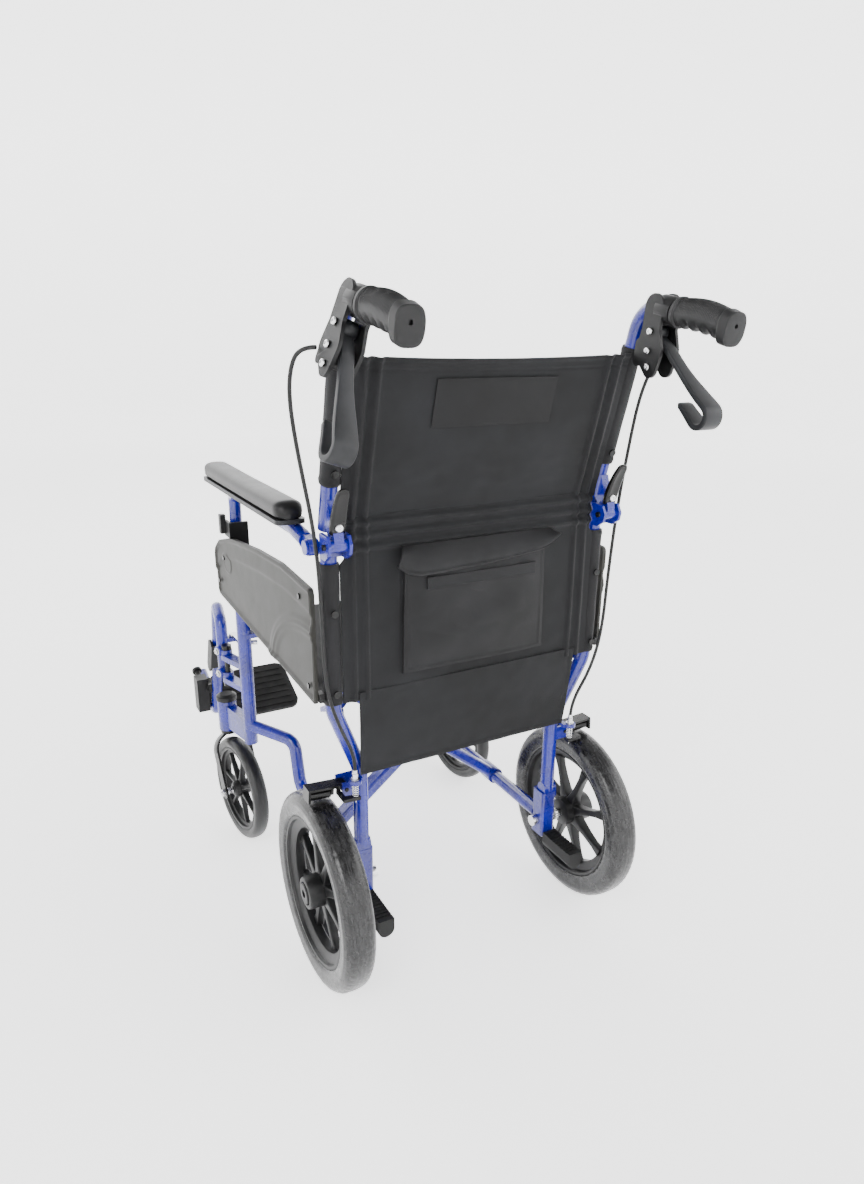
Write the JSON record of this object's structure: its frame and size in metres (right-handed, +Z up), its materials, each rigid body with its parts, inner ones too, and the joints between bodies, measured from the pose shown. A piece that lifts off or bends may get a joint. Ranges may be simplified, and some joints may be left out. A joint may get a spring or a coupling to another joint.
{
  "type": "manual wheelchair",
  "caption": "Folding attendant-pushed wheelchair with cross brace, swivel casters, flip-up armrests, swing-away footrests, folding back and hand brakes.",
  "frame": {"origin": "on the floor, midway between the foremost and rearmost points, on the chair's centre plane", "axes": "+Z up, the chair faces -Y, +X is the sitter's left"},
  "size_m": [0.5646, 1.01, 0.9863],
  "materials": {
    "blue_frame": "gloss",
    "grey_plastic": "satin",
    "black_plastic": "satin",
    "black_rubber": "ribbed",
    "steel": "bright",
    "grip_rubber": "ribbed",
    "lever_plastic": "satin",
    "vinyl": "satin",
    "caster_rubber": "satin",
    "tyre_rubber": "gloss",
    "nylon": "woven"
  },
  "bodies": {
    "left_frame": {"left_side_frame": "blue_frame", "left_skirt_guard": "grey_plastic", "left_frame_fittings": "black_plastic", "left_tip_step": "black_rubber", "left_rear_axle": "steel", "left_brake_cable": "black_plastic", "left_frame_screws": "steel", "back_panel_lower": "nylon"},
    "left_back": {"left_handle_tube": "blue_frame", "left_hand_grip": "grip_rubber", "left_brake_housing": "black_plastic", "left_back_screws": "steel", "back_panel_upper": "nylon"},
    "left_brake_lever": {"left_brake_lever": "lever_plastic"},
    "left_back_latch": {"left_back_latch": "black_plastic"},
    "left_arm": {"left_arm_tube": "blue_frame", "left_arm_pad_base": "grey_plastic", "left_arm_pad": "vinyl"},
    "left_hanger": {"left_hanger_tube": "blue_frame", "left_calf_strap": "black_plastic"},
    "left_hanger_latch": {"left_hanger_latch": "steel"},
    "left_footplate": {"left_footplate": "black_plastic"},
    "left_caster": {"left_caster_fork": "black_plastic", "left_caster_axle": "steel"},
    "left_caster_wheel": {"left_caster_rim": "black_plastic", "left_caster_tyre": "caster_rubber"},
    "left_rear_wheel": {"left_rear_rim": "black_plastic", "left_rear_tyre": "tyre_rubber"},
    "left_brake_arm": {"left_brake_arm": "black_plastic"},
    "right_frame": {"right_side_frame": "blue_frame", "right_skirt_guard": "grey_plastic", "right_frame_fittings": "black_plastic", "right_tip_step": "black_rubber", "right_rear_axle": "steel", "right_brake_cable": "black_plastic", "right_frame_screws": "steel"},
    "right_back": {"right_handle_tube": "blue_frame", "right_hand_grip": "grip_rubber", "right_brake_housing": "black_plastic", "right_back_screws": "steel"},
    "right_brake_lever": {"right_brake_lever": "lever_plastic"},
    "right_back_latch": {"right_back_latch": "black_plastic"},
    "right_arm": {"right_arm_tube": "blue_frame", "right_arm_pad_base": "grey_plastic", "right_arm_pad": "vinyl"},
    "right_hanger": {"right_hanger_tube": "blue_frame", "right_calf_strap": "black_plastic"},
    "right_hanger_latch": {"right_hanger_latch": "steel"},
    "right_footplate": {"right_footplate": "black_plastic"},
    "right_caster": {"right_caster_fork": "black_plastic", "right_caster_axle": "steel"},
    "right_caster_wheel": {"right_caster_rim": "black_plastic", "right_caster_tyre": "caster_rubber"},
    "right_rear_wheel": {"right_rear_rim": "black_plastic", "right_rear_tyre": "tyre_rubber"},
    "right_brake_arm": {"right_brake_arm": "black_plastic"},
    "brace_a": {"brace_a": "blue_frame", "brace_bolt": "steel"},
    "brace_b": {"brace_b": "blue_frame"},
    "seat": {"seat_sling": "nylon"}
  },
  "joints": [
    {"name": "frame_fold", "type": "hinge", "parent": "left_frame", "child": "brace_a", "pos_m": [0.165, 0.102, 0.156], "axis": [0, 1, 0], "range_deg": [0, 40], "deforming": ["seat_sling", "back_panel_lower", "back_panel_upper"]},
    {"name": "brace_cross", "type": "hinge", "parent": "brace_a", "child": "brace_b", "pos_m": [0, 0.102, 0.28791], "axis": [0, 1, 0], "range_deg": [-80, 0]},
    {"name": "right_frame_slide_hinge", "type": "hinge", "parent": "brace_b", "child": "right_frame", "pos_m": [-0.165, 0.102, 0.156], "axis": [0, 1, 0], "range_deg": [0, 40]},
    {"name": "seat_rise", "type": "slide", "parent": "left_frame", "child": "seat", "axis": [0, 0, 1], "range_m": [0, 0.1646]},
    {"name": "left_rear_wheel_spin", "type": "hinge", "parent": "left_frame", "child": "left_rear_wheel", "pos_m": [0.23, 0.248, 0.1485], "axis": [1, 0, 0], "continuous": true},
    {"name": "left_caster_swivel", "type": "hinge", "parent": "left_frame", "child": "left_caster", "pos_m": [0.24, -0.214, 0.2], "axis": [0, 0, 1], "continuous": true},
    {"name": "left_caster_spin", "type": "hinge", "parent": "left_caster", "child": "left_caster_wheel", "pos_m": [0.23464, -0.17033, 0.099], "axis": [0.9925, 0.1219, 0], "continuous": true},
    {"name": "left_back_fold", "type": "hinge", "parent": "left_frame", "child": "left_back", "pos_m": [0.2135, 0.3025, 0.682], "axis": [-1, 0, 0], "range_deg": [0, 100], "deforming": ["left_brake_cable", "right_brake_cable"]},
    {"name": "left_back_latch_pivot", "type": "hinge", "parent": "left_back", "child": "left_back_latch", "pos_m": [0.2135, 0.299, 0.702], "axis": [-1, 0, 0], "range_deg": [0, 18], "stiffness_Nm_per_rad": 0.3},
    {"name": "left_arm_flip", "type": "hinge", "parent": "left_frame", "child": "left_arm", "pos_m": [0.235, 0.27, 0.676], "axis": [-1, 0, 0], "range_deg": [0, 78]},
    {"name": "left_hanger_swing", "type": "hinge", "parent": "left_frame", "child": "left_hanger", "pos_m": [0.24, -0.185, 0.35], "axis": [0, 0, 1], "range_deg": [0, 90]},
    {"name": "left_hanger_latch_pivot", "type": "hinge", "parent": "left_hanger", "child": "left_hanger_latch", "pos_m": [0.219, -0.212, 0.395], "axis": [0, 0, 1], "range_deg": [0, 30], "stiffness_Nm_per_rad": 0.1},
    {"name": "left_footplate_flip", "type": "hinge", "parent": "left_hanger", "child": "left_footplate", "pos_m": [0.222, -0.38, 0.162], "axis": [0, 0.9063, -0.4226], "range_deg": [0, 90]},
    {"name": "left_brake_lever_pivot", "type": "hinge", "parent": "left_back", "child": "left_brake_lever", "pos_m": [0.22389, 0.37433, 0.9358], "axis": [0.9397, 0.0617, 0.3364], "range_deg": [-43, 0]},
    {"name": "left_brake_arm_pivot", "type": "hinge", "parent": "left_frame", "child": "left_brake_arm", "pos_m": [0.194, 0.248, 0.312], "axis": [0, -1, 0], "range_deg": [-4, 0]},
    {"name": "right_rear_wheel_spin", "type": "hinge", "parent": "right_frame", "child": "right_rear_wheel", "pos_m": [-0.23, 0.248, 0.1485], "axis": [1, 0, 0], "continuous": true},
    {"name": "right_caster_swivel", "type": "hinge", "parent": "right_frame", "child": "right_caster", "pos_m": [-0.24, -0.214, 0.2], "axis": [0, 0, 1], "continuous": true},
    {"name": "right_caster_spin", "type": "hinge", "parent": "right_caster", "child": "right_caster_wheel", "pos_m": [-0.24536, -0.17033, 0.099], "axis": [0.9925, 0.1219, 0], "continuous": true},
    {"name": "right_back_fold", "type": "hinge", "parent": "right_frame", "child": "right_back", "pos_m": [-0.2135, 0.3025, 0.682], "axis": [-1, 0, 0], "range_deg": [0, 100]},
    {"name": "right_back_latch_pivot", "type": "hinge", "parent": "right_back", "child": "right_back_latch", "pos_m": [-0.2135, 0.299, 0.702], "axis": [-1, 0, 0], "range_deg": [0, 18], "stiffness_Nm_per_rad": 0.3},
    {"name": "right_arm_flip", "type": "hinge", "parent": "right_frame", "child": "right_arm", "pos_m": [-0.235, 0.27, 0.676], "axis": [-1, 0, 0], "range_deg": [0, 78]},
    {"name": "right_hanger_swing", "type": "hinge", "parent": "right_frame", "child": "right_hanger", "pos_m": [-0.24, -0.185, 0.35], "axis": [0, 0, -1], "range_deg": [0, 90]},
    {"name": "right_hanger_latch_pivot", "type": "hinge", "parent": "right_hanger", "child": "right_hanger_latch", "pos_m": [-0.219, -0.212, 0.395], "axis": [0, 0, -1], "range_deg": [0, 30], "stiffness_Nm_per_rad": 0.1},
    {"name": "right_footplate_flip", "type": "hinge", "parent": "right_hanger", "child": "right_footplate", "pos_m": [-0.222, -0.38, 0.162], "axis": [0, -0.9063, 0.4226], "range_deg": [0, 90]},
    {"name": "right_brake_lever_pivot", "type": "hinge", "parent": "right_back", "child": "right_brake_lever", "pos_m": [-0.2135, 0.374, 0.934], "axis": [1, 0, 0], "range_deg": [-62, 0]},
    {"name": "right_brake_arm_pivot", "type": "hinge", "parent": "right_frame", "child": "right_brake_arm", "pos_m": [-0.194, 0.248, 0.312], "axis": [0, 1, 0], "range_deg": [-4, 0]}
  ],
  "couplings": [
    {"joint": "brace_cross", "follows": "frame_fold", "ratio": -2},
    {"joint": "right_frame_slide_hinge", "follows": "frame_fold", "ratio": 1},
    {"joint": "seat_rise", "follows": "frame_fold", "m_per_rad": 0.23436},
    {"joint": "left_footplate_flip", "follows": "frame_fold", "ratio": 2.25},
    {"joint": "left_brake_arm_pivot", "follows": "left_brake_lever_pivot", "ratio": 0.093023},
    {"joint": "right_footplate_flip", "follows": "frame_fold", "ratio": 2.25},
    {"joint": "right_brake_arm_pivot", "follows": "right_brake_lever_pivot", "ratio": 0.064516},
    {"joint": "right_back_fold", "follows": "left_back_fold", "ratio": 1}
  ]
}
